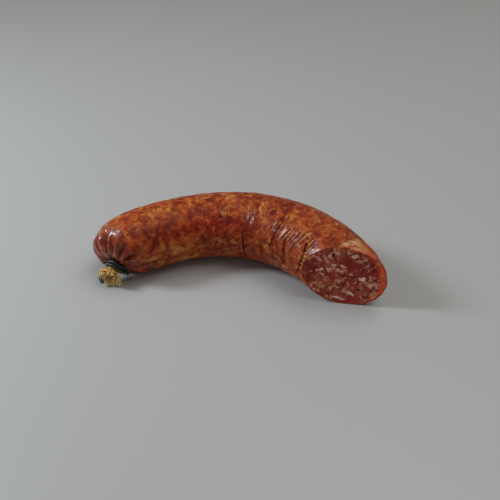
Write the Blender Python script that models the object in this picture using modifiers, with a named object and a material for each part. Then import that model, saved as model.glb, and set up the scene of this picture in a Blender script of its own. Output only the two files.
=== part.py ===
"""One half of a coarse smoked ring sausage, lying flat.

One end is gathered, tied off with twine and left with a short tuft of dry casing. The other end is cut
across on the slant, so that the mince shows. Metres, +Z up, resting on z = 0.

A place on the sausage is given by its station, which is the distance along the centre line from the tied
neck towards the cut, and by its angle round that line: 0 is the outside of the bend, 90 the top, 180 the
inside of the bend and 270 the underside.
"""

import math
import random

import bmesh
import bpy
from mathutils import Matrix, Vector

# Bend of the centre line, seen from above. Headings are measured from +X towards +Y.
BEND_LENGTH = 0.1437
BEND_HALF_TURN = math.radians(50.5)
BEND_BOW = math.radians(2.5)

# Girth: the radius at the tied shoulder, at a third and two thirds of the bend, and at the cut.
BODY_RADII = (0.0189, 0.0193, 0.0203, 0.0196)
SETTLE = 0.0005

# The tied end. The neck sits low in a blunt face that looks towards the inside of the bend.
SHOULDER_LENGTH = 0.0160
SHOULDER_FULLNESS = 2.5
NECK_PLACE = Vector((-0.0070, -0.0128, -0.0068))
NECK_TURN = math.radians(22.0)
NECK_TURN_REACH = 0.0280
NECK_PITCH = math.radians(33.0)
NECK_RADIUS = 0.0037
NECK_LENGTH = 0.0046
TUFT_LENGTH = 0.0064
TUFT_RADIUS = 0.0074
TUFT_WAIST = 0.0032
TUFT_TURN = math.radians(16.0)
TUFT_PITCH = math.radians(10.0)
TUFT_FLATTEN = 0.80
TUFT_FLUTES = 9
TUFT_FLUTE_DEPTH = 0.17
TUFT_RAGGEDNESS = 0.0008
GROOVE_ANGLE = math.radians(-30.0)
GROOVE_DEPTH = 0.16

# Pleats that gather the casing into the neck, which drift round it as they run out of it:
# (angle at the neck, angle at the far end, depth, width, reach), the angles in degrees.
PLEATS = (
    (84, 62, 0.0019, 7.0, 0.0095),
    (104, 82, 0.0007, 6.5, 0.0105),
    (124, 114, 0.0012, 6.5, 0.0105),
    (131, 160, 0.0015, 6.0, 0.0095),
    (176, 188, 0.0012, 8.0, 0.0120),
    (208, 214, 0.0015, 8.0, 0.0140),
    (238, 236, 0.0011, 7.0, 0.0110),
    (266, 270, 0.0014, 8.0, 0.0130),
    (297, 292, 0.0012, 7.0, 0.0110),
    (325, 329, 0.0014, 8.0, 0.0120),
    (358, 364, 0.0010, 7.0, 0.0110),
    (52, 47, 0.0012, 7.0, 0.0100),
)
PLEAT_RISE = 0.0026

# The cut.
CUT_OFFSET = 0.0010
CUT_BEARING = math.radians(5.3)
CUT_LEAN = math.radians(2.7)
CUT_OVERRUN = 0.0260
SHAVE_ANGLE = math.radians(66.0)
SHAVE_SLOPE = math.radians(42.0)
SHAVE_DEPTH = 0.0017
RIM_STEP = 0.0003
CUT_RINGS = (0.965, 0.90, 0.82, 0.73, 0.64, 0.55, 0.46, 0.37, 0.28, 0.19, 0.10)
CUT_STRETCH = 1.25
FAT_GRAINS = 36
FAT_GRAIN_RADIUS = (0.0011, 0.0020)
FAT_GRAIN_PROUD = 0.0004

# Twine.
TWINE_RADIUS = 0.0010
TWINE_CLEARANCE = 0.0004
TWINE_TURNS = (-0.0015, -0.0033)
KNOT_SIZE = (0.0019, 0.0024, 0.0021)
KNOT_ANGLE = math.radians(205.0)

# Stations of the tuft's tip, the neck's ends, the start of the bend and the cut.
TUFT_TIP = -NECK_LENGTH - TUFT_LENGTH
TUFT_START = -NECK_LENGTH
SHOULDER_START = 0.0
BEND_START = SHOULDER_LENGTH
CUT_STATION = BEND_START + BEND_LENGTH + CUT_OFFSET

# Swellings (and, where the height is negative, hollows) of the casing away from a turned shape:
# (station, angle, height, reach along, reach round).
SWELLINGS = (
    (0.0040, math.radians(-33), 0.0058, 0.0058, math.radians(63)),
    (BEND_START + BEND_LENGTH + 0.0120, math.radians(12), -0.0014, 0.0110, math.radians(48)),
)

# Facets.
SIDES = 60
TWINE_SIDES = 10
WALK_STEP = 0.00025

# Where the middle of the footprint lies, measured from the point where the bend meets the tied shoulder.
FOOTPRINT_CENTRE = Vector((0.0609, 0.0139, 0.0))

SEED = 7

# Creases of the casing across the inside of the bend: (station, middle angle, half span, depth, half width).
CREASES = (
    (BEND_START + 0.0725, math.radians(178), math.radians(48), 0.0010, 0.0010),
    (BEND_START + 0.0960, math.radians(150), math.radians(36), 0.0006, 0.0012),
    (BEND_START + 0.1070, math.radians(172), math.radians(40), 0.0010, 0.0011),
    (BEND_START + 0.1140, math.radians(145), math.radians(38), 0.0007, 0.0013),
    (BEND_START + 0.1215, math.radians(166), math.radians(46), 0.0016, 0.0013),
)


def smooth(low, high, value):
    """0 below low, 1 above high, and an even curve between."""
    t = min(1.0, max(0.0, (value - low) / (high - low)))
    return t * t * (3.0 - 2.0 * t)


def angle_between(first, second):
    """The signed difference of two angles, from -180 to 180 degrees."""
    return (first - second + math.pi) % (2.0 * math.pi) - math.pi


def bend_heading(station):
    """The bearing of the bend at a station, as seen from above."""
    t = max(0.0, (station - BEND_START) / BEND_LENGTH)
    return BEND_HALF_TURN * (1.0 - 2.0 * t) + BEND_BOW * math.sin(2.0 * math.pi * t)


def heading_at(station):
    """The bearing that a ring faces: the neck turns further than the bend does, and the tuft further still."""
    neck_turn = NECK_TURN * (1.0 - smooth(0.0, NECK_TURN_REACH, station))
    return bend_heading(station) + neck_turn + TUFT_TURN * smooth(TUFT_START, TUFT_TIP, station)


def pitch_at(station):
    """How steeply a ring's axis climbs: only the tied end is out of the level."""
    neck_pitch = NECK_PITCH * (1.0 - smooth(0.0, NECK_TURN_REACH, station))
    return neck_pitch + (TUFT_PITCH - NECK_PITCH) * smooth(TUFT_START, TUFT_TIP, station)


def body_radius(station):
    """The radius along the bend: the cubic through its four named values."""
    last = len(BODY_RADII) - 1
    t = last * min(1.0, max(0.0, (station - BEND_START) / BEND_LENGTH))
    total = 0.0
    for index, radius in enumerate(BODY_RADII):
        for other in range(last + 1):
            if other != index:
                radius *= (t - other) / (index - other)
        total += radius
    return total


def radius_at(station):
    """The plain turned radius: tuft, neck, domed shoulder and body."""
    if station < TUFT_START:
        t = (station - TUFT_START) / (TUFT_TIP - TUFT_START)
        return TUFT_WAIST + (TUFT_RADIUS - TUFT_WAIST) * smooth(0.0, 0.9, t)
    if station < SHOULDER_START:
        return TUFT_WAIST + (NECK_RADIUS - TUFT_WAIST) * smooth(TUFT_START, TUFT_START + 0.0014, station)
    if station < BEND_START:
        t = 1.0 - station / SHOULDER_LENGTH
        rise = (1.0 - t**SHOULDER_FULLNESS) ** (1.0 / SHOULDER_FULLNESS)
        return NECK_RADIUS + (BODY_RADII[0] - NECK_RADIUS) * rise
    return body_radius(station)


def shoulder_slope(station):
    """How far the casing faces away from the centre line, and how far it faces back past the neck."""
    if not SHOULDER_START < station < BEND_START:
        return 1.0, 0.0
    t = 1.0 - station / SHOULDER_LENGTH
    power = SHOULDER_FULLNESS - 1.0
    away = (1.0 - t**SHOULDER_FULLNESS) ** (power / SHOULDER_FULLNESS) / (BODY_RADII[0] - NECK_RADIUS)
    back = t**power / SHOULDER_LENGTH
    size = math.hypot(away, back)
    return away / size, back / size


def direction(heading, pitch):
    level = math.cos(pitch)
    return Vector((math.cos(heading) * level, math.sin(heading) * level, math.sin(pitch)))


def ring_direction(station):
    """The way a ring faces at a station."""
    return direction(heading_at(station), pitch_at(station))


def bend_direction(station):
    return direction(bend_heading(station), 0.0)


class CentreLine:
    """The bent centre line. It is walked in short steps through the bend and through the neck and tuft, and
    one smooth curve joins the two across the shoulder."""

    def __init__(self):
        self.bend_start = Vector((0.0, 0.0, BODY_RADII[0] - SETTLE)) - FOOTPRINT_CENTRE
        self.neck = self.bend_start + NECK_PLACE
        reach = BEND_LENGTH + CUT_OVERRUN
        self.bend = self.walk(self.bend_start, bend_direction, BEND_START, reach, WALK_STEP)
        self.tuft = self.walk(self.neck, ring_direction, SHOULDER_START, 0.004 - TUFT_TIP, -WALK_STEP)

    @staticmethod
    def walk(start, way, station, reach, step):
        points = [start.copy()]
        for index in range(math.ceil(reach / abs(step)) + 2):
            points.append(points[-1] + way(station + (index + 0.5) * step) * step)
        return points

    def centre(self, station):
        if SHOULDER_START < station < BEND_START:
            t = station / SHOULDER_LENGTH
            pull = SHOULDER_LENGTH / 3.0
            first = self.neck + ring_direction(SHOULDER_START) * pull
            second = self.bend_start - bend_direction(BEND_START) * pull
            near = self.neck * (1.0 - t) ** 3 + first * (3.0 * t * (1.0 - t) ** 2)
            return near + second * (3.0 * t**2 * (1.0 - t)) + self.bend_start * t**3
        points, place = self.bend, (station - BEND_START) / WALK_STEP
        if station <= SHOULDER_START:
            points, place = self.tuft, (SHOULDER_START - station) / WALK_STEP
        low = math.floor(place)
        centre = points[low].lerp(points[low + 1], place - low)
        if station > BEND_START:
            centre.z = body_radius(station) - SETTLE
        return centre

    def frame(self, station):
        """The centre, the outward and upward directions across the line, and the direction along it."""
        along = ring_direction(station)
        outward = Vector((-math.sin(heading_at(station)), math.cos(heading_at(station)), 0.0))
        return self.centre(station), outward, along.cross(outward), along

    def point(self, station, angle, radius, flatten=1.0, back=0.0):
        centre, outward, upward, along = self.frame(station)
        place = centre + outward * (radius * math.cos(angle)) + upward * (radius * flatten * math.sin(angle))
        return place - along * back


def relief(station, angle):
    """How far the casing lies inside its turned radius, where it is pleated or creased."""
    sunk = 0.0
    if SHOULDER_START < station < BEND_START:
        for near_angle, far_angle, depth, width, reach in PLEATS:
            middle = math.radians(near_angle + (far_angle - near_angle) * station / reach)
            strength = smooth(0.0, PLEAT_RISE, station) * (1.0 - smooth(reach * 0.45, reach, station))
            sunk += depth * strength * math.exp(-((angle_between(angle, middle) / math.radians(width)) ** 2))
    for place, middle, height, along, around in SWELLINGS:
        away = ((station - place) / along) ** 2 + (angle_between(angle, middle) / around) ** 2
        sunk -= height * smooth(0.0, 0.0012, station) * math.exp(-away)
    for place, middle, half_span, depth, half_width in CREASES:
        across = 1.0 - smooth(0.55, 1.0, abs(angle_between(angle, middle)) / half_span)
        sunk += depth * across * math.exp(-(((station - place) / half_width) ** 2))
    return sunk


def tuft_shape(station, angle):
    """The share of the tuft's radius at an angle: it is fluted where the casing is bunched."""
    swell = smooth(TUFT_START, TUFT_START - 0.004, station)
    flute = TUFT_FLUTE_DEPTH * (math.cos(TUFT_FLUTES * angle) + 0.4 * math.sin(4.0 * angle + 1.0))
    groove = GROOVE_DEPTH * math.exp(-((angle_between(angle, GROOVE_ANGLE) / math.radians(26.0)) ** 2))
    return 1.0 + swell * (flute - groove)


def stations():
    """Where the rings of facets lie, from the tuft's tip to past the cut, closer together at each crease."""
    tuft = [TUFT_TIP + TUFT_LENGTH * k / 7.0 for k in range(8)]
    neck = [TUFT_START + 0.0014, -0.0018]
    slopes = (0, 8, 14, 21, 28, 36, 44, 53, 62, 72, 82)
    dome = [SHOULDER_LENGTH * (1.0 - math.cos(math.radians(slope))) for slope in slopes]
    body = [BEND_START + 0.0036 * k for k in range(int((BEND_LENGTH + CUT_OVERRUN) / 0.0036) + 1)]
    offsets = (-1.6, -0.7, 0.0, 0.7, 1.6)
    near = [place + offset * half for place, _, _, _, half in CREASES for offset in offsets]
    clear = [s for s in body if all(abs(s - n) > 0.0012 for n in near)]
    spaced = sorted(set(tuft + neck + dome + clear + near))
    kept = [spaced[0]]
    for place in spaced[1:]:
        if place - kept[-1] > 0.00035:
            kept.append(place)
    return kept


def material(name, colour, roughness, metallic=0.0):
    made = bpy.data.materials.new(name)
    made.use_nodes = True
    shader = made.node_tree.nodes["Principled BSDF"]
    shader.inputs["Base Color"].default_value = (*colour, 1.0)
    shader.inputs["Roughness"].default_value = roughness
    shader.inputs["Metallic"].default_value = metallic
    made.diffuse_color = (*colour, 1.0)
    return made


def collection(name):
    made = bpy.data.collections.new(name)
    bpy.context.scene.collection.children.link(made)
    return made


def add_object(name, mesh, home):
    made = bpy.data.objects.new(name, mesh)
    home.objects.link(made)
    return made


def evaluated_mesh(obj):
    """A new mesh with the object's modifiers applied."""
    bpy.context.view_layer.update()
    return bpy.data.meshes.new_from_object(obj.evaluated_get(bpy.context.evaluated_depsgraph_get()))


def turned_blank(home):
    """A straight sausage turned about Z, its height the station, from the tuft to past the cut."""
    rings = stations()
    profile = [(0.0, rings[-1])] + [(radius_at(s), s) for s in reversed(rings)] + [(0.0, rings[0] + 0.0012)]
    bm = bmesh.new()
    corners = [bm.verts.new((radius, 0.0, height)) for radius, height in profile]
    for first, second in zip(corners, corners[1:]):
        bm.edges.new((first, second))
    mesh = bpy.data.meshes.new("profile")
    bm.to_mesh(mesh)
    bm.free()
    blank = add_object("blank", mesh, home)
    screw = blank.modifiers.new("turn", "SCREW")
    screw.axis = "Z"
    screw.steps = SIDES
    screw.render_steps = SIDES
    screw.use_merge_vertices = True
    screw.merge_threshold = 0.00001
    turned = evaluated_mesh(blank)
    bpy.data.objects.remove(blank)
    return turned


def bend(mesh, line, rng):
    """Moves each vertex of the straight blank to its place on the bent, pleated and settled sausage."""
    ragged = [rng.uniform(-TUFT_RAGGEDNESS, TUFT_RAGGEDNESS) for _ in range(SIDES)]
    for vertex in mesh.vertices:
        x, y, station = vertex.co
        radius, angle = math.hypot(x, y), math.atan2(y, x)
        flatten, back = 1.0, 0.0
        if radius > 0.0:
            sunk = relief(station, angle)
            away, back = shoulder_slope(station)
            radius, back = radius - sunk * away, -sunk * back
        if station < TUFT_START:
            radius *= tuft_shape(station, angle)
            flatten = 1.0 - (1.0 - TUFT_FLATTEN) * smooth(TUFT_START, TUFT_TIP, station)
            if station < TUFT_TIP + 0.0005 and radius > 0.0:
                station += TUFT_RAGGEDNESS + ragged[round(angle / (2.0 * math.pi) * SIDES) % SIDES]
        place = line.point(station, angle, radius, flatten, back)
        vertex.co = (place.x, place.y, max(place.z, 0.0))


def cut_frame(line):
    """A matrix whose origin is the middle of the cut, with X along it, Y upwards on it and Z out of it."""
    centre, _, _, along = line.frame(CUT_STATION)
    across = Vector((math.cos(CUT_BEARING), math.sin(CUT_BEARING), 0.0))
    out = Vector((across.y, -across.x, 0.0))
    if out.dot(along) < 0.0:
        out = -out
    out = (out * math.cos(CUT_LEAN) + Vector((0.0, 0.0, math.sin(CUT_LEAN)))).normalized()
    upward = out.cross(across)
    if upward.z < 0.0:
        across, upward = -across, -upward
    return Matrix.Translation(centre) @ Matrix((across, upward, out)).transposed().to_4x4()


def block(name, placement, size, home):
    """A cutter whose back face is the placement's XY plane."""
    bm = bmesh.new()
    bmesh.ops.create_cube(bm, size=1.0)
    bmesh.ops.scale(bm, vec=size, verts=bm.verts)
    bmesh.ops.translate(bm, vec=(0.0, 0.0, size[2] / 2.0), verts=bm.verts)
    mesh = bpy.data.meshes.new(name)
    bm.to_mesh(mesh)
    bm.free()
    cutter = add_object(name, mesh, home)
    cutter.matrix_world = placement
    cutter.hide_render = True
    cutter.display_type = "WIRE"
    return cutter


def shave_frame(line, cut):
    """The plane of the sliver shaved off the rim of the cut, where the knife first went in."""
    out = cut.to_3x3() @ Vector((0.0, 0.0, 1.0))
    centre, outward, upward, along = line.frame(CUT_STATION)
    radial = outward * math.cos(SHAVE_ANGLE) + upward * math.sin(SHAVE_ANGLE)
    rim = centre + radial * body_radius(CUT_STATION)
    rim = rim - along * ((rim - cut.translation).dot(out) / along.dot(out))
    normal = (radial * math.cos(SHAVE_SLOPE) + out * math.sin(SHAVE_SLOPE)).normalized()
    turned = normal.to_track_quat("Z", "Y").to_matrix().to_4x4()
    return Matrix.Translation(rim - normal * SHAVE_DEPTH) @ turned


def cut_by(obj, cutter):
    modifier = obj.modifiers.new(cutter.name, "BOOLEAN")
    modifier.operation = "DIFFERENCE"
    modifier.object = cutter


def fat_grains(rng):
    """(x, y, radius) of the grains of fat across the cut, kept apart and inside the casing."""
    inside = BODY_RADII[-1] - 0.0035
    grains = []
    for _ in range(FAT_GRAINS * 40):
        x, y = rng.uniform(-inside, inside) * CUT_STRETCH, rng.uniform(-inside, inside)
        radius = rng.uniform(*FAT_GRAIN_RADIUS)
        apart = all(math.hypot(x - u, y - v) > 1.1 * (radius + other) for u, v, other in grains)
        if len(grains) < FAT_GRAINS and apart and math.hypot(x / CUT_STRETCH, y) < inside:
            grains.append((x, y, radius))
    return grains


def cut_height(place, share, grains):
    """How far a point of the cut stands out of its plane; share is 0 in the middle and 1 at the casing."""
    height = -RIM_STEP * smooth(1.0, 0.90, share)
    for x, y, radius in grains:
        height += FAT_GRAIN_PROUD * math.exp(-((math.hypot(place.x - x, place.y - y) / radius) ** 4))
    return height


def roughen_cut(mesh, cut, rng):
    """Insets the flat cut ring by ring and lifts the rings into the casing's rim and the grains of fat."""
    grains = fat_grains(rng)
    to_cut = cut.inverted()
    out = cut.to_3x3() @ Vector((0.0, 0.0, 1.0))
    bm = bmesh.new()
    bm.from_mesh(mesh)
    bm.normal_update()
    flat = max((face for face in bm.faces if face.normal.dot(out) > 0.999), key=lambda face: face.calc_area())
    rim = [vertex.co.copy() for vertex in flat.verts]
    centre = flat.calc_center_median()
    for share in CUT_RINGS:
        bmesh.ops.inset_individual(bm, faces=[flat], thickness=0.0001)
        for vertex, edge in zip(flat.verts, rim):
            place = centre.lerp(edge, share)
            vertex.co = place + out * cut_height(to_cut @ place, share, grains)
    middle = bmesh.ops.poke(bm, faces=[flat])["verts"][0]
    middle.co = centre + out * cut_height(to_cut @ centre, 0.0, grains)
    bm.to_mesh(mesh)
    bm.free()


def join_collection(obj, home):
    """Fuses everything in a collection to the object by one Boolean union, and removes the pieces."""
    union = obj.modifiers.new("join", "BOOLEAN")
    union.operation = "UNION"
    union.operand_type = "COLLECTION"
    union.collection = home
    whole = evaluated_mesh(obj)
    obj.modifiers.clear()
    obj.data = whole
    for piece in list(home.objects):
        bpy.data.objects.remove(piece)
    bpy.data.collections.remove(home)


def finish(obj, finish_material, sharp_degrees):
    obj.data.materials.clear()
    obj.data.materials.append(finish_material)
    obj.data.shade_smooth()
    obj.data.set_sharp_from_angle(angle=math.radians(sharp_degrees))


def make_sausage(line, home, helpers, rng):
    sausage = add_object("sausage", turned_blank(helpers), home)
    bend(sausage.data, line, rng)
    cut = cut_frame(line)
    cut_by(sausage, block("cut_block", cut, (0.090, 0.090, 0.045), helpers))
    cut_by(sausage, block("shave_block", shave_frame(line, cut), (0.060, 0.060, 0.020), helpers))
    whole = evaluated_mesh(sausage)
    sausage.modifiers.clear()
    sausage.data = whole
    roughen_cut(whole, cut, rng)
    finish(sausage, material("smoked_casing", (0.33, 0.075, 0.025), 0.35), 40)
    return sausage


def tube(name, points, home):
    """A closed mesh tube of twine through the points."""
    curve = bpy.data.curves.new(name, "CURVE")
    curve.dimensions = "3D"
    curve.bevel_depth = TWINE_RADIUS
    curve.bevel_resolution = TWINE_SIDES // 2 - 2
    curve.use_fill_caps = True
    spline = curve.splines.new("POLY")
    spline.points.add(len(points) - 1)
    for target, point in zip(spline.points, points):
        target.co = (*point, 1.0)
    guide = add_object(name + "_guide", curve, home)
    mesh = evaluated_mesh(guide)
    bpy.data.objects.remove(guide)
    bm = bmesh.new()
    bm.from_mesh(mesh)
    bmesh.ops.remove_doubles(bm, verts=bm.verts, dist=0.00001)
    bm.to_mesh(mesh)
    bm.free()
    return add_object(name, mesh, home)


def through(points, steps):
    """A smooth line through the points, with some steps from each to the next."""
    line = []
    for index in range(len(points) - 1):
        before = points[max(index - 1, 0)]
        start, end = points[index], points[index + 1]
        after = points[min(index + 2, len(points) - 1)]
        for step in range(steps):
            t = step / steps
            line.append(0.5 * (
                2.0 * start
                + (end - before) * t
                + (2.0 * before - 5.0 * start + 4.0 * end - after) * t**2
                + (3.0 * start - before - 3.0 * end + after) * t**3
            ))
    return line + [points[-1]]


def ring(name, placement, major, minor, home):
    """A closed turn of twine, as a torus about the placement's Z."""
    bpy.ops.mesh.primitive_torus_add(
        major_segments=32, minor_segments=TWINE_SIDES, major_radius=major, minor_radius=minor
    )
    made = bpy.context.object
    made.name = name
    for owner in list(made.users_collection):
        owner.objects.unlink(made)
    home.objects.link(made)
    made.matrix_world = placement
    return made


def across_line(line, station):
    """A placement at a station with Z along the centre line."""
    centre, outward, upward, along = line.frame(station)
    return Matrix.Translation(centre) @ Matrix((outward, upward, along)).transposed().to_4x4()


def make_twine(line, home):
    """Two turns of twine round the neck, a knot inside the bend and two cut ends."""
    major = NECK_RADIUS + TWINE_CLEARANCE + TWINE_RADIUS
    twine = ring("tie_twine", across_line(line, TWINE_TURNS[0]), major, TWINE_RADIUS, home)
    twine.data.transform(twine.matrix_world)
    twine.matrix_world = Matrix.Identity(4)
    parts = collection("twine_parts")
    ring("second_turn", across_line(line, TWINE_TURNS[1]), major, TWINE_RADIUS, parts)

    middle = sum(TWINE_TURNS) / 2.0
    knot = across_line(line, middle) @ Matrix.Rotation(KNOT_ANGLE, 4, "Z")
    knot = knot @ Matrix.Translation((major + 0.7 * TWINE_RADIUS, 0.0, 0.0))
    knot = knot @ Matrix.Diagonal((*KNOT_SIZE, 1.0))
    bm = bmesh.new()
    bmesh.ops.create_icosphere(bm, subdivisions=2, radius=1.0, matrix=knot)
    lump = bpy.data.meshes.new("knot")
    bm.to_mesh(lump)
    bm.free()
    add_object("knot", lump, parts)

    beside_tuft = [(-0.0033, 335, major), (-0.0060, 337, 0.0058), (-0.0085, 341, 0.0070),
                   (-0.0108, 344, 0.0076), (-0.0120, 328, 0.0070), (-0.0122, 302, 0.0062)]
    tube("long_end", through([line.point(s, math.radians(a), r) for s, a, r in beside_tuft], 4), parts)
    knot_end = [(middle, 205, major), (middle, 207, major + 0.0022), (-0.0030, 214, major + 0.0042),
                (-0.0046, 224, major + 0.0052)]
    tube("short_end", through([line.point(s, math.radians(a), r) for s, a, r in knot_end], 3), parts)
    join_collection(twine, parts)
    finish(twine, material("green_twine", (0.012, 0.028, 0.022), 0.45), 50)
    return twine


def main():
    for obj in list(bpy.data.objects):
        bpy.data.objects.remove(obj)
    rng = random.Random(SEED)
    line = CentreLine()
    home = collection("ring_sausage_half")
    helpers = collection("cutters")
    make_sausage(line, home, helpers, rng)
    make_twine(line, home)


main()
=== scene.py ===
from math import ceil, cos, pi, radians, sin, sqrt

import bpy
import numpy as np
from numpy.random import default_rng
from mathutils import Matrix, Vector
from mathutils.kdtree import KDTree


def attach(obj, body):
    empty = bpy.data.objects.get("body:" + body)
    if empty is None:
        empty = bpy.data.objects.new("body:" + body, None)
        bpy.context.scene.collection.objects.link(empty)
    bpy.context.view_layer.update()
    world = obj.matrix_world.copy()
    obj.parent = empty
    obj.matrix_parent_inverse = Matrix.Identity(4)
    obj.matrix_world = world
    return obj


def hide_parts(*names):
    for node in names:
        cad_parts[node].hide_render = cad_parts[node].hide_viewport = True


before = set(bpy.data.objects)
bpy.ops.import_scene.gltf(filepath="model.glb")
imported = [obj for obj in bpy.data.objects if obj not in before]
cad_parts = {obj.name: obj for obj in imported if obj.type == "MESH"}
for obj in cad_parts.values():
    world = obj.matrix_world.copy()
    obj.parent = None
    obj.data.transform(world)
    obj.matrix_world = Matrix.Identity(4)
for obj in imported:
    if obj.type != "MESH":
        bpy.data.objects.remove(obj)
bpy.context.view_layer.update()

# Everything is in metres. A place on the sausage is given by its station, the distance along the centre
# line from the tied neck towards the cut, and by its angle round that line: 0 is the outside of the bend,
# 90 the top, 180 the inside of the bend and 270 the underside. These values are those of the solid model.
BEND_LENGTH = 0.1437
BEND_HALF_TURN = radians(50.5)
BEND_BOW = radians(2.5)
BODY_RADII = (0.0189, 0.0193, 0.0203, 0.0196)
SETTLE = 0.0005
SHOULDER_LENGTH = 0.0160
SHOULDER_FULLNESS = 2.5
NECK_PLACE = np.array((-0.0070, -0.0128, -0.0068))
NECK_TURN = radians(22.0)
NECK_TURN_REACH = 0.0280
NECK_PITCH = radians(33.0)
NECK_RADIUS = 0.0037
NECK_LENGTH = 0.0046
TUFT_LENGTH = 0.0064
TUFT_RADIUS = 0.0074
TUFT_WAIST = 0.0032
TUFT_TURN = radians(16.0)
TUFT_PITCH = radians(10.0)
TUFT_FLATTEN = 0.80
GROOVE_ANGLE = radians(-30.0)
CUT_OFFSET = 0.0010
CUT_BEARING = radians(5.3)
CUT_LEAN = radians(2.7)
SHAVE_ANGLE = radians(66.0)
SHAVE_SLOPE = radians(42.0)
SHAVE_DEPTH = 0.0017
TWINE_RADIUS = 0.0010
TWINE_CLEARANCE = 0.0004
TWINE_TURNS = (-0.0015, -0.0033)
KNOT_ANGLE = 205.0
TUFT_TIP = -NECK_LENGTH - TUFT_LENGTH
TUFT_START = -NECK_LENGTH
BEND_START = SHOULDER_LENGTH
CUT_STATION = BEND_START + BEND_LENGTH + CUT_OFFSET
BODY_CUBIC = np.polyfit(np.linspace(0.0, 1.0, 4), BODY_RADII, 3)
FOOTPRINT_CENTRE = np.array((0.0609, 0.0139, 0.0))
WALK_STEP = 0.00025
SWELLINGS = (
    (0.0040, radians(-33), 0.0058, 0.0058, radians(63)),
    (BEND_START + BEND_LENGTH + 0.0120, radians(12), -0.0014, 0.0110, radians(48)),
)

# Pleats that gather the casing into the neck, which drift round it as they run out of it:
# (angle at the neck, angle at the far end, depth, width, reach), the angles in degrees.
PLEATS = (
    (84, 60, 0.0031, 6.0, 0.0125),
    (104, 82, 0.0009, 5.0, 0.0110),
    (124, 114, 0.0014, 4.5, 0.0110),
    (131, 162, 0.0020, 3.6, 0.0105),
    (176, 188, 0.0012, 7.0, 0.0120),
    (208, 214, 0.0015, 7.0, 0.0140),
    (238, 236, 0.0011, 6.0, 0.0110),
    (266, 270, 0.0014, 7.0, 0.0130),
    (297, 292, 0.0012, 6.0, 0.0110),
    (325, 329, 0.0014, 7.0, 0.0120),
    (358, 364, 0.0010, 6.0, 0.0110),
    (52, 47, 0.0012, 6.0, 0.0100),
)

# Marks on the cut: (across, up, half length, half width, turn in degrees), from the middle of the cut.
# Pale patches have a sixth value, their whiteness.
PALE_PATCHES = (
    (0.0079, -0.0008, 0.0017, 0.0015, 0, 0.65),
    (-0.0046, -0.0153, 0.0042, 0.0010, -10, 0.45),
    (0.0020, -0.0116, 0.0027, 0.0011, -28, 0.5),
    (0.0125, -0.0050, 0.0011, 0.0020, 0, 0.35),
    (0.0026, 0.0139, 0.0023, 0.0011, 5, 0.3),
    (-0.0150, 0.0032, 0.0012, 0.0008, 40, 0.3),
    (-0.0085, 0.0068, 0.0018, 0.0009, 20, 0.3),
    (-0.0030, 0.0068, 0.0019, 0.0009, -15, 0.25),
    (-0.0112, 0.0128, 0.0014, 0.0009, 30, 0.25),
)
DEEP_REDS = (
    (0.0143, 0.0072, 0.0018, 0.0034, -20),
    (0.0050, 0.0050, 0.0036, 0.0022, 10),
    (-0.0085, 0.0005, 0.0036, 0.0026, 0),
    (0.0020, -0.0050, 0.0030, 0.0018, 20),
)
# Pits on the cut, sunk and painted dark as painted shade.
PITS = (
    (-0.0092, 0.0134, 0.0010, 0.0007, 20),
    (-0.0056, 0.0091, 0.0009, 0.0006, -30),
    (0.0132, 0.0050, 0.0013, 0.0009, 60),
    (0.0065, -0.0085, 0.0011, 0.0006, 0),
    (0.0147, -0.0009, 0.0008, 0.0007, 0),
)
GLOWS = (
    (-0.0124, -0.0052, 0.0030, 0.0038, 0),
    (0.0010, -0.0077, 0.0036, 0.0026, 0),
    (-0.0033, 0.0176, 0.0060, 0.0018, 0),
)

# Colours of the mince.
LEAN_DARK = (0.180, 0.007, 0.003)
LEAN_LIGHT = (0.380, 0.036, 0.014)
PINK = (0.470, 0.105, 0.060)
FAT_DARK = (0.560, 0.170, 0.100)
FAT_LIGHT = (0.860, 0.470, 0.340)
DEEP_RED = (0.360, 0.012, 0.007)
WHITE = (0.98, 0.74, 0.60)
WARM_LEAN = (0.46, 0.100, 0.034)
RIM_ORANGE = (0.95, 0.120, 0.024)
RIM_BROWN = (0.60, 0.120, 0.030)
SHAVED_TAN = (0.56, 0.25, 0.11)

# The photograph's view: a lens and a frame in millimetres, aimed at the plate between the two ends.
VIEW_LENS = 50.0
VIEW_FRAME = 36.0
VIEW_AZIMUTH = radians(14.5)
VIEW_ELEVATION = radians(38.0)
VIEW_DISTANCE = 0.430
VIEW_TARGET = (-0.00042, 0.01862, 0.0)

# Fineness of the skin and of the cut.
SKIN_SIDES = 240
SKIN_SPACING = 0.00062
CREASE_SPACING = 0.00022
END_ZONE = 0.0180
END_RINGS = 74
CUT_SIDES = 300
CUT_RINGS = 84
NECK_RINGS = 15
DOME_RINGS = 56
FINE_STEP = 0.00005
GRAIN_SPACING = 0.00165
DOT_SPACING = 0.00105
SCATTER_WIDTH = 0.030
SCATTER_HEIGHT = 0.024

# Steps of the casing's torn edge at the cut: (distance inwards, distance out of the cut).
LIP_STEPS = ((0.00012, 0.00016), (0.00030, 0.00012), (0.00040, -0.00055))
SCRAP_ANGLES = (152, 159, 166, 173)

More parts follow.
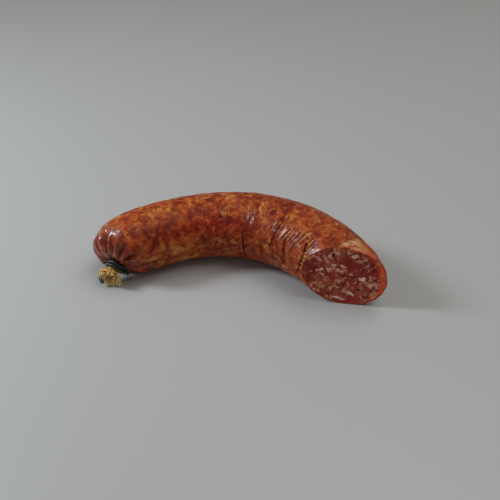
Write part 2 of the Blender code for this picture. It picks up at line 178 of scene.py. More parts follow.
# The outer sheet of the tuft, its shreds, and the twine's twist. The long end of the twine is given in
# rows of (station, angle in degrees, distance from the centre line), like every length of twine.
NEAR_TURN = 6.28
TUFT_CLEARANCE = 0.0006
SHEET_SEED = 301
SHEET_SIDES = 220
SHEET_RINGS = 34
SHEET_RADIUS = TUFT_RADIUS * 0.86
SHEET_LENGTH = TUFT_LENGTH * 0.72
SHEET_FLUTES = 9
SHEET_FLUTE_DEPTH = 0.12
SHEET_RAGGED = 0.0011
STRAND_COUNT = 230
CORD_PLIES = 3
CORD_LAY = 0.0042
CORD_SIDES = 30
CATMULL_ROM = 0.5 * np.array(((0, 2, 0, 0), (-1, 0, 1, 0), (2, -5, 4, -1), (-1, 3, -3, 1)))
TWINE_LONG_END = (
    (-0.0118, -44, 0.0050),
    (-0.0112, -34, 0.0058),
    (-0.0100, -18, 0.0065),
    (-0.0085, -14, 0.0059),
    (-0.0062, -16, 0.0053),
)

# Fine pleats, ripples of the casing near the cut, and the one that glints beside the first crease.
FINE_PLEAT_COUNT = 26
RIPPLE_COUNT = 12
RIPPLE_START = BEND_START + 0.0925
RIPPLE_SPACING = 0.0030
GLINT_STATION = BEND_START + 0.0752
GLINT_ANGLE = 129

# Creases of the casing: (station, middle angle, half span, depth, half width, slant, bow), the angles in
# degrees. Slant and bow say how far the station shifts with the angle from the middle in radians.
CREASES = (
    (BEND_START + 0.0718, 188, 44, 0.0011, 0.00045, 0.0010, 0.0),
    (BEND_START + 0.0866, 186, 30, 0.0006, 0.00045, 0.0, 0.0),
    (BEND_START + 0.0960, 150, 30, 0.0005, 0.00070, -0.0030, 0.0),
    (BEND_START + 0.1070, 171, 32, 0.0008, 0.00050, 0.0020, 0.0),
    (BEND_START + 0.1140, 145, 30, 0.0006, 0.00075, -0.0030, 0.0),
    (BEND_START + 0.1240, 160, 46, 0.0014, 0.00055, 0.0010, -0.0100),
)


def smooth(low, high, value):
    t = np.clip((value - low) / (high - low), 0.0, 1.0)
    return t * t * (3.0 - 2.0 * t)


def bell(value, middle, reach):
    return np.exp(-(((value - middle) / reach) ** 2))


def angle_between(first, second):
    return (first - second + pi) % (2.0 * pi) - pi


def facing(angle, degrees, reach):
    """1 at an angle given in degrees, fading away from it over a reach in radians."""
    return bell(angle_between(angle, radians(degrees)), 0.0, reach)


def even_angles(sides):
    return np.arange(sides) * (2.0 * pi / sides)


def one_lumpiness(points, size, seed):
    """Smooth noise from -1 to 1 whose lumps are about the given size in metres."""
    table = default_rng(seed).uniform(-1.0, 1.0, (32, 32, 32))
    place = points / size + 100.0
    cell = np.floor(place).astype(int)
    t = place - cell
    t = t * t * (3.0 - 2.0 * t)
    total = np.zeros(points.shape[:-1])
    for corner in np.ndindex(2, 2, 2):
        share = np.abs(1 - np.array(corner) - t)
        at = (cell + corner) % 32
        value = table[at[..., 0], at[..., 1], at[..., 2]]
        total += share[..., 0] * share[..., 1] * share[..., 2] * value
    return total


def lumpiness(points, size, seed, layers=3):
    total = np.zeros(points.shape[:-1])
    for layer in range(layers):
        total += one_lumpiness(points, size / 2.1**layer, seed + layer) * 0.55**layer
    return total


def bend_heading(station):
    t = np.maximum(0.0, (station - BEND_START) / BEND_LENGTH)
    return BEND_HALF_TURN * (1.0 - 2.0 * t) + BEND_BOW * np.sin(2.0 * pi * t)


def heading_at(station):
    neck_turn = NECK_TURN * (1.0 - smooth(0.0, NECK_TURN_REACH, station))
    return bend_heading(station) + neck_turn + TUFT_TURN * smooth(TUFT_START, TUFT_TIP, station)


def pitch_at(station):
    neck_pitch = NECK_PITCH * (1.0 - smooth(0.0, NECK_TURN_REACH, station))
    return neck_pitch + (TUFT_PITCH - NECK_PITCH) * smooth(TUFT_START, TUFT_TIP, station)


def body_radius(station):
    return np.polyval(BODY_CUBIC, np.clip((station - BEND_START) / BEND_LENGTH, 0.0, 1.0))


def radius_at(station):
    t = np.clip(1.0 - station / SHOULDER_LENGTH, 0.0, 1.0)
    rise = (1.0 - t**SHOULDER_FULLNESS) ** (1.0 / SHOULDER_FULLNESS)
    dome = NECK_RADIUS + (BODY_RADII[0] - NECK_RADIUS) * rise
    neck = TUFT_WAIST + (NECK_RADIUS - TUFT_WAIST) * smooth(TUFT_START, TUFT_START + 0.0014, station)
    return np.where(station < 0.0, neck, np.where(station < BEND_START, dome, body_radius(station)))


def shoulder_slope(station):
    """How far the skin faces away from the centre line, and how far it faces back past the neck."""
    t = np.clip(1.0 - station / SHOULDER_LENGTH, 0.0, 0.9999)
    power = SHOULDER_FULLNESS - 1.0
    away = (1.0 - t**SHOULDER_FULLNESS) ** (power / SHOULDER_FULLNESS) / (BODY_RADII[0] - NECK_RADIUS)
    back = t**power / SHOULDER_LENGTH
    size = np.hypot(away, back)
    on_dome = (station > 0.0) & (station < BEND_START)
    return np.where(on_dome, away / size, 1.0), np.where(on_dome, back / size, 0.0)


def direction(heading, pitch):
    level = np.cos(pitch)
    return np.stack((np.cos(heading) * level, np.sin(heading) * level, np.sin(pitch) + 0.0 * heading), -1)


def ring_direction(station):
    return direction(heading_at(station), pitch_at(station))


def bend_direction(station):
    return direction(bend_heading(station), np.zeros_like(station))


def follow(at, places, points):
    """Points at places along a line of points."""
    return np.stack([np.interp(at, places, points[:, k]) for k in range(3)], -1)


def walk(start, way, station, reach, step):
    """Stations and points of a line walked from a start in the direction that way gives."""
    count = ceil(reach / abs(step)) + 2
    middles = station + (np.arange(count) + 0.5) * step
    points = start + np.concatenate((np.zeros((1, 3)), np.cumsum(way(middles) * step, axis=0)))
    return station + np.arange(count + 1) * step, points


LINE_START = np.array((0.0, 0.0, BODY_RADII[0] - SETTLE)) - FOOTPRINT_CENTRE
NECK_POINT = LINE_START + NECK_PLACE
BEND_WALK = walk(LINE_START, bend_direction, BEND_START, BEND_LENGTH + 0.030, WALK_STEP)
TUFT_WALK = walk(NECK_POINT, ring_direction, 0.0, 0.006 - TUFT_TIP, -WALK_STEP)


def centre_at(station):
    flat = np.asarray(station, float).ravel()
    on_bend = follow(flat, *BEND_WALK)
    on_bend[:, 2] = body_radius(flat) - SETTLE
    on_tuft = follow(-flat, -TUFT_WALK[0], TUFT_WALK[1])
    t = np.clip(flat / SHOULDER_LENGTH, 0.0, 1.0)[:, None]
    pull = SHOULDER_LENGTH / 3.0
    first = NECK_POINT + ring_direction(np.array(0.0)) * pull
    second = LINE_START - bend_direction(np.array(BEND_START)) * pull
    joining = NECK_POINT * (1.0 - t) ** 3 + first * (3.0 * t * (1.0 - t) ** 2)
    joining = joining + second * (3.0 * t**2 * (1.0 - t)) + LINE_START * t**3
    near = np.where((flat > 0.0)[:, None], joining, on_tuft)
    return np.where((flat > BEND_START)[:, None], on_bend, near).reshape(np.shape(station) + (3,))


def ring_axes(station):
    heading = heading_at(station)
    along = ring_direction(station)
    outward = np.stack((-np.sin(heading), np.cos(heading), np.zeros_like(heading)), -1)
    return outward, np.cross(along, outward), along


def point_at(station, angle, radius, flatten=1.0, back=0.0):
    """The point at a station, angle and radius, moved back past the neck by a distance."""
    station, angle, radius = np.broadcast_arrays(np.asarray(station, float), angle, radius)
    outward, upward, along = ring_axes(station)
    place = centre_at(station) + outward * (radius * np.cos(angle))[..., None]
    place = place + upward * (radius * flatten * np.sin(angle))[..., None]
    return place - along * np.broadcast_to(back, radius.shape)[..., None]


def make_fine_pleats():
    """Fine folds like those in PLEATS, between them."""
    draw = default_rng(41).uniform
    folds = []
    for index in range(FINE_PLEAT_COUNT):
        angle = 360.0 * (index + draw(-0.3, 0.3)) / FINE_PLEAT_COUNT
        depth = draw(0.00022, 0.00055)
        far_angle = angle + draw(-7, 7)
        width = draw(1.6, 3.0)
        folds.append((angle, far_angle, depth, width, draw(0.0055, 0.0110)))
    return tuple(folds)


def make_ripples():
    """Short creases, like those in CREASES, where the skin bunches near the cut, inside the bend."""
    draw = default_rng(12).uniform
    ripples = []
    for index in range(RIPPLE_COUNT):
        ripples.append((
            RIPPLE_START + RIPPLE_SPACING * index + draw(-0.0007, 0.0007),
            draw(122, 142),
            draw(11, 19),
            draw(0.00045, 0.00075),
            draw(0.00055, 0.00080),
            draw(-0.0090, -0.0055),
            0.0,
        ))
    ripples.append((GLINT_STATION, GLINT_ANGLE, 14, 0.00060, 0.00080, -0.0030, 0.0))
    return tuple(ripples)


FINE_PLEATS = make_fine_pleats()
RIPPLES = make_ripples()


def crease_shape(station, angle, crease):
    """How deep one crease is: a narrow valley between two low lips, fading at its ends."""
    place, middle, half_span, depth, half_width, slant, bow = crease
    turn = angle_between(angle, radians(middle))
    across = 1.0 - smooth(0.35, 1.0, np.abs(turn) / radians(half_span))
    lean = slant * turn + bow * turn**2 + 0.0004 * np.sin(3.0 * angle + 900.0 * place)
    x = np.abs(station - place - lean) / half_width
    valley = np.exp(-(x**1.4))
    lips = 0.30 * bell(x, 2.3, 1.1)
    return depth * across * (valley - lips), across * valley


def skin_relief(station, angle):
    """How far the skin is sunk, and how much painted shade its creases and its pleats get, from 0 to 1."""
    sunk = np.zeros(station.shape)
    crease_shade = np.zeros(station.shape)
    pleat_shade = np.zeros(station.shape)
    rise = smooth(-0.0002, 0.0022, station)
    for near_angle, far_angle, depth, width, reach in PLEATS + FINE_PLEATS:
        fade = 1.0 - smooth(reach * 0.40, reach, station)
        bent = np.radians(near_angle + (far_angle - near_angle) * station / reach)
        bent = bent + 0.035 * np.sin(station / 0.0022 + 5.0 * near_angle)
        x = np.abs(angle_between(angle, bent)) / (radians(width) * (0.7 + station / 0.016))
        valley = np.exp(-(x**1.5))
        sunk += depth * rise * fade * (valley - 0.25 * bell(x, 2.2, 1.0))
        # How much painted shade the pleat's valley gets in the casing's colour.
        shown = min(depth / 0.0015, 1.0) * fade * valley * (station > -0.001)
        pleat_shade = np.maximum(pleat_shade, shown)
    for place, middle, height, along, around in SWELLINGS:
        away = ((station - place) / along) ** 2 + (angle_between(angle, middle) / around) ** 2
        sunk -= height * smooth(0.0, 0.0012, station) * np.exp(-away)
    for crease in CREASES + RIPPLES:
        depth, share = crease_shape(station, angle, crease)
        sunk += depth
        # Painted shade: the creases' valleys are darkened in the casing's colour, deep creases most and
        # ripples only a little.
        darkness = 0.15 if crease in RIPPLES else min(1.0, crease[3] / 0.0010)
        crease_shade = np.maximum(crease_shade, share * darkness)
    return sunk, crease_shade, pleat_shade


def skin_point(station, angle):
    """The skin's point, and how much painted shade its creases and pleats get there."""
    sunk, crease_shade, pleat_shade = skin_relief(station, angle)
    away, back = shoulder_slope(station)
    radius = radius_at(station)
    plain = point_at(station, angle, radius)
    lumps = 0.00020 * lumpiness(plain, 0.0052, 3) * smooth(-0.001, 0.004, station)
    on_neck = 1.0 - smooth(-0.0005, 0.0010, station)
    gather = 0.00035 * np.sin(13.0 * angle + 2.0 * np.sin(3.0 * angle)) * on_neck
    sunk = sunk - lumps - gather
    place = point_at(station, angle, radius - sunk * away, 1.0, -sunk * back)
    place[..., 2] = np.maximum(place[..., 2], 0.0)
    return place, crease_shade, pleat_shade


def unit(vector):
    return vector / np.linalg.norm(vector)


def cut_planes():
    """(point, normal) of the cut and of the sliver shaved off its upper rim."""
    station = np.array(CUT_STATION)
    centre = centre_at(station)
    outward, upward, along = ring_axes(station)
    out = np.array((sin(CUT_BEARING), -cos(CUT_BEARING), 0.0))
    out = unit(out * cos(CUT_LEAN) + np.array((0.0, 0.0, sin(CUT_LEAN))))
    radial = outward * cos(SHAVE_ANGLE) + upward * sin(SHAVE_ANGLE)
    rim = centre + radial * float(body_radius(CUT_STATION))
    rim = rim - along * (np.dot(rim - centre, out) / np.dot(along, out))
    shave = unit(radial * cos(SHAVE_SLOPE) + out * sin(SHAVE_SLOPE))
    return (centre, out), (rim - shave * SHAVE_DEPTH, shave)


CUT_PLANE, SHAVE_PLANE = cut_planes()
CUT_ACROSS = np.array((cos(CUT_BEARING), sin(CUT_BEARING), 0.0))
CUT_UPWARD = np.cross(CUT_ACROSS, -CUT_PLANE[1])
if CUT_UPWARD[2] < 0.0:
    CUT_UPWARD = -CUT_UPWARD


def beyond_cut(points):
    """How far points are past the nearer of the two planes that end the sausage."""
    past_cut = (points - CUT_PLANE[0]) @ CUT_PLANE[1]
    past_shave = (points - SHAVE_PLANE[0]) @ SHAVE_PLANE[1]
    return np.maximum(past_cut, past_shave)


def inwards_from(rim):
    """The ways along the cut from points of its rim to its middle, and how far that is."""
    centre, out = CUT_PLANE
    inward = centre - rim
    inward = inward - (inward @ out)[:, None] * out
    reach = np.linalg.norm(inward, axis=1)
    return inward / reach[:, None], reach


def cut_stations(angles):
    """The station at which the skin meets the cut, for each angle."""
    tries = np.linspace(CUT_STATION - END_ZONE, CUT_STATION + 0.026, 240)
    grid, turned = np.meshgrid(tries, angles, indexing="ij")
    past = beyond_cut(skin_point(grid, turned)[0])
    after = np.argmax(past > 0.0, axis=0)
    columns = np.arange(len(angles))
    low, high = past[after - 1, columns], past[after, columns]
    return tries[after - 1] + (tries[after] - tries[after - 1]) * (-low / (high - low))


def body_stations():
    """Stations of the rings up to where they begin to lean into the cut, closer together at each crease."""
    neck = np.linspace(TUFT_START - 0.0006, -0.0003, NECK_RINGS)
    turn = np.radians(np.linspace(2.0, 89.0, DOME_RINGS))
    dome = SHOULDER_LENGTH * (1.0 - np.cos(turn) ** (2.0 / SHOULDER_FULLNESS))
    fine = np.arange(BEND_START, CUT_STATION - END_ZONE, FINE_STEP)
    nearness = np.zeros_like(fine)
    for crease in CREASES + RIPPLES:
        nearness = np.maximum(nearness, bell(fine, crease[0], 0.0022))
    density = 1.0 / (SKIN_SPACING + (CREASE_SPACING - SKIN_SPACING) * nearness)
    travelled = np.concatenate(([0.0], np.cumsum(density[:-1] * FINE_STEP)))
    body = np.interp(np.linspace(0.0, travelled[-1], int(travelled[-1])), travelled, fine)
    return np.concatenate((neck, dome, body))


def add_object(name, data):
    piece = bpy.data.objects.new(name, data)
    bpy.context.scene.collection.objects.link(piece)
    return piece


def add_mesh(name, vertices, faces):
    mesh = bpy.data.meshes.new(name)
    mesh.from_pydata(vertices.tolist(), [], faces)
    mesh.shade_smooth()
    return add_object(name, mesh)


def grid_mesh(name, points, cap=False):
    """A mesh object through closed rings of points, the last ring filled where cap is set."""
    rings, sides = points.shape[:2]
    index = np.arange(rings * sides).reshape(rings, sides)
    after = np.roll(index, -1, axis=1)
    faces = np.stack((index[:-1], after[:-1], after[1:], index[1:]), -1).reshape(-1, 4).tolist()
    if cap:
        faces.append(index[-1].tolist())
    return add_mesh(name, points.reshape(-1, 3), faces)


def strip_mesh(name, strips, thickness):
    """One mesh object of thin strips, each of them a grid of points by row and column."""
    rows, columns = strips[0].shape[:2]
    index = np.arange(len(strips) * rows * columns).reshape(len(strips), rows, columns)
    low, high = index[:, :-1], index[:, 1:]
    faces = np.stack((low[..., :-1], low[..., 1:], high[..., 1:], high[..., :-1]), -1).reshape(-1, 4)
    piece = add_mesh(name, np.concatenate(strips).reshape(-1, 3), faces.tolist())
    thicken(piece, thickness)
    return piece


def thicken(piece, thickness):
    solid = piece.modifiers.new("thickness", "SOLIDIFY")
    solid.thickness = thickness
    solid.offset = 0.0


def set_number(piece, name, values):
    attribute = piece.data.attributes.new(name, "FLOAT", "POINT")
    attribute.data.foreach_set("value", np.ascontiguousarray(values, dtype=np.float32).ravel())


def set_colour(piece, name, colours):
    attribute = piece.data.attributes.new(name, "FLOAT_COLOR", "POINT")
    opaque = np.pad(np.asarray(colours, np.float32), ((0, 0), (0, 1)), constant_values=1.0)
    attribute.data.foreach_set("color", opaque.ravel())


def finish_piece(piece, material, node="sausage"):
    piece.data.materials.append(material)
    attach(piece, "root")
    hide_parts(node)


# Materials are made of nodes. Most functions below add nodes to a tree and return their output.
def new_material(name):
    made = bpy.data.materials.new(name)
    made.use_nodes = True
    return made, made.node_tree, made.node_tree.nodes["Principled BSDF"]


def finish_shader(tree, shader, linked, fixed):
    """Links sockets of a shader to what drives them, and sets those that are the same all over."""
    for name, output in linked.items():
        tree.links.new(output, shader.inputs[name])
    for name, value in fixed.items():
        shader.inputs[name].default_value = value


def feed(tree, socket, value):
    if isinstance(value, bpy.types.NodeSocket):
        tree.links.new(value, socket)
    else:
        socket.default_value = value


def add_node(tree, kind, inputs, output=0, **settings):
    """Adds a node, gives it its settings and inputs, and returns one of its outputs."""
    node = tree.nodes.new(kind)
    for name, value in settings.items():
        setattr(node, name, value)
    for socket, value in inputs.items():
        feed(tree, node.inputs[socket], value)
    return node.outputs[output]


def object_place(tree):
    return add_node(tree, "ShaderNodeTexCoord", {}, "Object")


def number_of(tree, name, output="Fac"):
    return add_node(tree, "ShaderNodeAttribute", {}, output, attribute_name=name)


def noise(tree, place, scale, detail=3.0, roughness=0.55, distortion=0.0, output="Fac"):
    inputs = {"Vector": place, "Scale": scale, "Detail": detail, "Roughness": roughness}
    return add_node(tree, "ShaderNodeTexNoise", {**inputs, "Distortion": distortion}, output)


def cells(tree, place, scale, smoothness, output="Color"):
    inputs = {"Vector": place, "Scale": scale, "Smoothness": smoothness}
    return add_node(tree, "ShaderNodeTexVoronoi", inputs, output, feature="SMOOTH_F1")


def maths(tree, kind, first, second):
    return add_node(tree, "ShaderNodeMath", {0: first, 1: second}, operation=kind)


def plus(tree, first, second, weight):
    """The first value and a weighted second one."""
    return maths(tree, "ADD", first, maths(tree, "MULTIPLY", second, weight))


def vector_maths(tree, kind, first, second):
    inputs = {0: first, 3 if kind == "SCALE" else 1: second}
    return add_node(tree, "ShaderNodeVectorMath", inputs, operation=kind)


def ramp(tree, factor, stops, smoothly=False):
    node = tree.nodes.new("ShaderNodeValToRGB")
    node.color_ramp.interpolation = "EASE" if smoothly else "LINEAR"
    elements = node.color_ramp.elements
    while len(elements) < len(stops):
        elements.new(0.5)
    for element, (position, colour) in zip(elements, stops):
        element.position = position
        element.color = (*colour, 1.0) if isinstance(colour, tuple) else (colour, colour, colour, 1.0)
    feed(tree, node.inputs["Fac"], factor)
    return node.outputs["Color"]


def mixed(tree, factor, first, second, blend_type="MIX"):
    first, second = [(*value, 1.0) if isinstance(value, tuple) else value for value in (first, second)]
    inputs = {0: factor, 6: first, 7: second}
    return add_node(tree, "ShaderNodeMix", inputs, 2, data_type="RGBA", blend_type=blend_type)


def bump(tree, height, strength, distance, **below):
    """A normal bent by a height, on top of another one where Normal is given."""
    inputs = {"Height": height, "Strength": strength, "Distance": distance, **below}
    return add_node(tree, "ShaderNodeBump", inputs, "Normal")


def warped(tree, place, scale, amount):
    """Coordinates pushed about by noise, so that what is drawn with them has uneven edges."""
    push = noise(tree, place, scale, 3.0, 0.6, 0.0, "Color")
    push = vector_maths(tree, "SUBTRACT", push, (0.5, 0.5, 0.5))
    push = vector_maths(tree, "SCALE", push, amount)
    return vector_maths(tree, "ADD", place, push)


def grains(tree, place, scale, share, reach):
    """Soft round blotches: a random share of the cells of a pattern, each fading out from its middle."""
    near = cells(tree, place, scale, 0.15, "Distance")
    kind = cells(tree, place, scale, 0.0)
    split = tree.nodes.new("ShaderNodeSeparateColor")
    tree.links.new(kind, split.inputs[0])
    picked = ramp(tree, split.outputs[0], ((share - 0.12, 1.0), (share + 0.12, 0.0)))
    soft = ramp(tree, near, ((reach * 0.25, 1.0), (reach, 0.0)), True)
    return maths(tree, "MULTIPLY", picked, soft)


def subsurface(weight, radius):
    return {"Subsurface Weight": weight, "Subsurface Radius": radius, "Subsurface Scale": 1.0}


def casing_colour(tree, place, swirl, level):
    """Lean and fat that show mottled through the casing."""
    colour = ramp(tree, level, (
        (0.46, (0.150, 0.010, 0.002)),
        (0.55, (0.270, 0.028, 0.003)),
        (0.63, (0.380, 0.058, 0.006)),
        (0.72, (0.480, 0.108, 0.014)),
        (0.84, (0.580, 0.215, 0.050)),
    ))
    fat = ramp(tree, noise(tree, swirl, 330.0, 3.0, 0.55, 0.5), ((0.53, 0.0), (0.68, 0.75)), True)
    colour = mixed(tree, fat, colour, (0.540, 0.185, 0.036))
    patchy = warped(tree, place, 300.0, 0.0045)
    lean = ramp(tree, noise(tree, patchy, 215.0, 5.0, 0.60, 0.4), ((0.52, 0.0), (0.68, 0.80)), True)
    colour = mixed(tree, lean, colour, (0.150, 0.011, 0.003))
    yellow = maths(tree, "MULTIPLY", grains(tree, swirl, 230.0, 0.15, 0.55), 0.75)
    colour = mixed(tree, yellow, colour, (0.680, 0.330, 0.070))
    violet = ramp(tree, noise(tree, swirl, 110.0, 4.0), ((0.54, 0.0), (0.74, 0.50)))
    colour = mixed(tree, violet, colour, (0.190, 0.030, 0.018))
    fleck = noise(tree, swirl, 850.0, 4.0, 0.70)
    return mixed(tree, 1.0, colour, ramp(tree, fleck, ((0.30, 0.66), (0.70, 1.28))), "MULTIPLY")


def skin_material():
    """Thin smoked casing over mottled lean and fat."""
    made, tree, shader = new_material("smoked_casing")
    place = object_place(tree)
    swirl = warped(tree, place, 170.0, 0.0060)
    swirl = warped(tree, swirl, 520.0, 0.0020)
    level = plus(tree, noise(tree, swirl, 235.0, 6.0, 0.66, 0.6), noise(tree, place, 60.0, 2.0, 0.5), 0.22)
    level = plus(tree, level, number_of(tree, "tone"), 0.10)
    colour = casing_colour(tree, place, swirl, level)
    colour = mixed(tree, number_of(tree, "red"), colour, (0.84, 0.38, 0.30), "MULTIPLY")
    streaks = vector_maths(tree, "MULTIPLY", swirl, (0.30, 1.0, 1.0))
    bare = ramp(tree, noise(tree, streaks, 700.0, 4.0, 0.65, 0.8), (
        (0.38, (0.30, 0.055, 0.014)),
        (0.48, (0.48, 0.200, 0.080)),
        (0.62, (0.74, 0.430, 0.220)),
    ))
    colour = mixed(tree, number_of(tree, "bare"), colour, bare)
    rim = ramp(tree, noise(tree, swirl, 600.0, 4.0), (
        (0.38, (0.32, 0.034, 0.007)),
        (0.62, (0.60, 0.120, 0.024)),
    ))
    colour = mixed(tree, number_of(tree, "dried"), colour, rim)
    # Painted shade: the casing's colour is darkened towards near black in its creases and pleats.
    painted_shade_in_creases = maths(tree, "MULTIPLY", number_of(tree, "crease_shade"), 0.80)
    gloss = number_of(tree, "gloss")
    rough = maths(tree, "ADD", maths(tree, "MULTIPLY", noise(tree, place, 450.0, 4.0), 0.24), 0.40)
    wrinkle = noise(tree, place, 1500.0, 4.0, 0.6)
    finish_shader(tree, shader, {
        "Base Color": mixed(tree, painted_shade_in_creases, colour, (0.050, 0.004, 0.002)),
        "Roughness": maths(tree, "SUBTRACT", rough, maths(tree, "MULTIPLY", gloss, 0.37)),
        "Coat Weight": gloss,
        "Normal": bump(tree, wrinkle, 0.30, 0.00012, Normal=bump(tree, level, 0.45, 0.0006)),
    }, {
        "Coat Roughness": 0.22,
        "Specular IOR Level": 0.20,
        "Sheen Weight": 0.06,
        "Sheen Roughness": 0.40,
        "Sheen Tint": (1.0, 0.88, 0.82, 1.0),
        **subsurface(0.08, (0.0030, 0.0010, 0.0005)),
    })
    return made


def bare_reach(angle):
    """How far back from the cut the casing has drawn, which is only on the upper outer side."""
    turn = np.clip(np.abs(angle_between(angle, radians(54.0))) / radians(64.0), 0.0, 1.0)
    return 0.0090 * np.cos(0.5 * pi * turn) ** 1.75


def skin_places():
    """Stations and angles of the skin's points, ring by ring, and the cut's station at each angle."""
    angles = even_angles(SKIN_SIDES)
    ends = cut_stations(angles)
    rings = body_stations()
    start = CUT_STATION - END_ZONE
    share = np.linspace(0.0, 1.0, END_RINGS + 1)[1:] ** 0.9
    leaning = start + share[:, None] * (ends - start)[None, :]
    stations = np.concatenate((np.tile(rings[:, None], SKIN_SIDES), leaning))
    return stations, np.broadcast_to(angles, stations.shape), ends


def draw_back(points, stations, turned, from_end):
    """The points with the casing drawn back from the cut, where it is bare, and how far its edge is."""
    outward, upward, _ = ring_axes(stations)
    away = outward * np.cos(turned)[..., None] + upward * np.sin(turned)[..., None]
    bare_edge = bare_reach(turned)
    from_edge = from_end - bare_edge + 0.0005 * lumpiness(points, 0.0022, 33)
    inside = smooth(0.0002, -0.0002, from_edge) * smooth(0.0003, 0.0009, bare_edge)
    fold = 0.00022 * lumpiness(points * (0.35, 1.0, 1.0), 0.0014, 37)
    ridge = 0.00055 * bell(from_edge, 0.0003, 0.00035) * smooth(0.0003, 0.0012, bare_edge)
    return points + away * (ridge - inside * (0.00035 + fold))[..., None], inside, from_edge


def torn_lip(rim, inward):
    """Rings of the casing's torn edge, which stands proud of the cut and then turns in behind it."""
    curl = 0.35 + 0.65 * lumpiness(rim, 0.0030, 21)
    torn = 0.00028 * (1.0 + lumpiness(rim, 0.0011, 27))
    lip = []
    for inwards, outwards in LIP_STEPS:
        lift = outwards * np.where(outwards > 0.0, np.maximum(curl, 0.1), 1.0)
        ring = rim + inward * (inwards + torn * (outwards < 0.0))[:, None]
        lip.append(ring + CUT_PLANE[1] * lift[:, None])
    return np.stack(lip)


def with_lip(values, on_lip=0.0):
    """Numbers of the skin's points with those of the torn lip's points after them."""
    return np.concatenate((values, np.broadcast_to(on_lip, (len(LIP_STEPS), SKIN_SIDES))))


def number_edges(skin, turned, from_end, inside, from_edge):
    """Numbers for where pale meat is bare behind the cut, and for where the edge has dried."""
    pale_side = smooth(radians(50), radians(64), angle_between(turned, 0.0))
    near_cut = 1.0 - smooth(0.0004, 0.0020, from_end)
    pale_side = pale_side * (1.0 - 0.85 * near_cut * smooth(radians(64), radians(76), turned))
    pale_side = pale_side + 0.6 * bell(from_edge, 0.0003, 0.0004) * (1.0 - pale_side)
    pale = inside * pale_side
    set_number(skin, "bare", with_lip(pale, pale[-1]))
    dry = inside * (1.0 - pale_side)
    lip_dry = (0.15 + 0.85 * facing(turned[-1], -5, 1.0)) * (1.0 - pale[-1])
    lip_dry = np.maximum(dry[-1], lip_dry)
    dry = np.maximum(dry, bell(from_end, 0.0, 0.0006) * 0.55 * (1.0 - inside))
    set_number(skin, "dried", with_lip(dry, lip_dry))


def number_tones(skin, points, stations, turned, crease_shade):
    """Numbers that shift the casing's colour and gloss from place to place."""
    ochre = 1.9 * bell(stations, 0.026, 0.025) * facing(turned, 192, 0.5)
    maroon = bell(stations, 0.074, 0.020) * facing(turned, 160, 0.6)
    shaded = bell(stations, 0.118, 0.022) * facing(turned, 185, 0.5)
    browner = smooth(0.085, 0.115, stations) * facing(turned, 85, 0.8)
    dusky = (1.0 - smooth(0.006, 0.022, stations)) * (1.0 - facing(turned, 205, 0.7))
    blotched = lumpiness(points, 0.0046, 53)
    ochre = ochre * np.clip(0.80 + 1.2 * blotched, 0.0, 1.9)
    tone = ochre - 0.9 * maroon - 0.9 * shaded - 0.4 * browner - 0.5 * dusky
    tone = tone + 0.9 * blotched * (1.0 - smooth(0.080, 0.105, stations))
    set_number(skin, "tone", with_lip(tone))
    red = bell(stations, 0.055, 0.045) * facing(turned, 143, 0.34)
    set_number(skin, "red", with_lip(np.maximum(red, 0.35 * dusky)))
    shoulder = (1.0 - smooth(0.007, 0.016, stations)) * (0.15 + 0.85 * facing(turned, 80, 1.0))
    bunched = bell(stations, BEND_START + 0.112, 0.024) * facing(turned, 134, 0.50)
    glint = bell(stations, GLINT_STATION, 0.004) * facing(turned, GLINT_ANGLE, 0.3)
    broken = np.clip(0.62 + 0.65 * lumpiness(points, 0.0030, 51), 0.12, 1.0)
    gloss = 0.9 * shoulder + 0.85 * bunched * broken + 0.8 * glint + 0.3 * crease_shade
    set_number(skin, "gloss", with_lip(np.clip(gloss, 0.0, 1.0), 0.3))


def make_skin():
    """The casing, up to the cut and round its torn edge. Returns the rim and the ways inwards from it."""
    stations, turned, ends = skin_places()
    points, crease_shade, pleat_shade = skin_point(stations, turned)
    from_end = ends[None, :] - stations
    points, inside, from_edge = draw_back(points, stations, turned, from_end)
    rim = points[-1]
    inward, _ = inwards_from(rim)
    whole = np.concatenate((points, torn_lip(rim, inward)))
    whole[..., 2] = np.maximum(whole[..., 2], 0.0)
    skin = grid_mesh("sausage_skin", whole)
    # Painted shade in the creases and pleats, kept as a number that darkens the casing's colour.
    set_number(skin, "crease_shade", with_lip(np.maximum(crease_shade, 0.8 * pleat_shade)))
    number_edges(skin, turned, from_end, inside, from_edge)
    number_tones(skin, points, stations, turned, crease_shade)
    finish_piece(skin, skin_material())
    return rim, inward


def scattered_points(spacing, seed):
    """Points of a shaken grid that covers more than the cut."""
    draw = default_rng(seed).uniform
    xs = np.arange(-SCATTER_WIDTH, SCATTER_WIDTH, spacing)
    ys = np.arange(-SCATTER_HEIGHT, SCATTER_HEIGHT, spacing * 0.9)
    grid = np.stack(np.meshgrid(xs, ys, indexing="ij"), -1)
    grid[:, ::2, 0] += spacing * 0.5
    return grid.reshape(-1, 2) + draw(-0.48, 0.48, (grid.size // 2, 2)) * spacing


def nearest(seeds, places):
    """For each place, the numbers of the two nearest seeds and how much farther the second one is."""
    tree = KDTree(len(seeds))
    for number, seed in enumerate(seeds):
        tree.insert((seed[0], seed[1], 0.0), number)
    tree.balance()
    found = [tree.find_n((x, y, 0.0), 2) for x, y in places]
    first = np.array([pair[0][1] for pair in found])
    second = np.array([pair[1][1] for pair in found])
    return first, second, np.array([pair[1][2] - pair[0][2] for pair in found])


def patch(places, feature):
    """A soft uneven oval on the cut, from 0 outside to 1 inside."""
    across, up, length, width, turn = feature[:5]
    turn = radians(turn)
    x = places[:, 0] - across
    y = places[:, 1] - up
    along = (x * cos(turn) + y * sin(turn)) / length
    aside = (y * cos(turn) - x * sin(turn)) / width
    return 1.0 - smooth(0.75, 1.15, np.hypot(along, aside))


def flat_points(places):
    """Places on the cut as points, for noise."""
    return np.pad(places, ((0, 0), (0, 1)))


def blend(colour, target, share):
    return np.multiply(colour, 1.0 - share) + np.multiply(target, share)


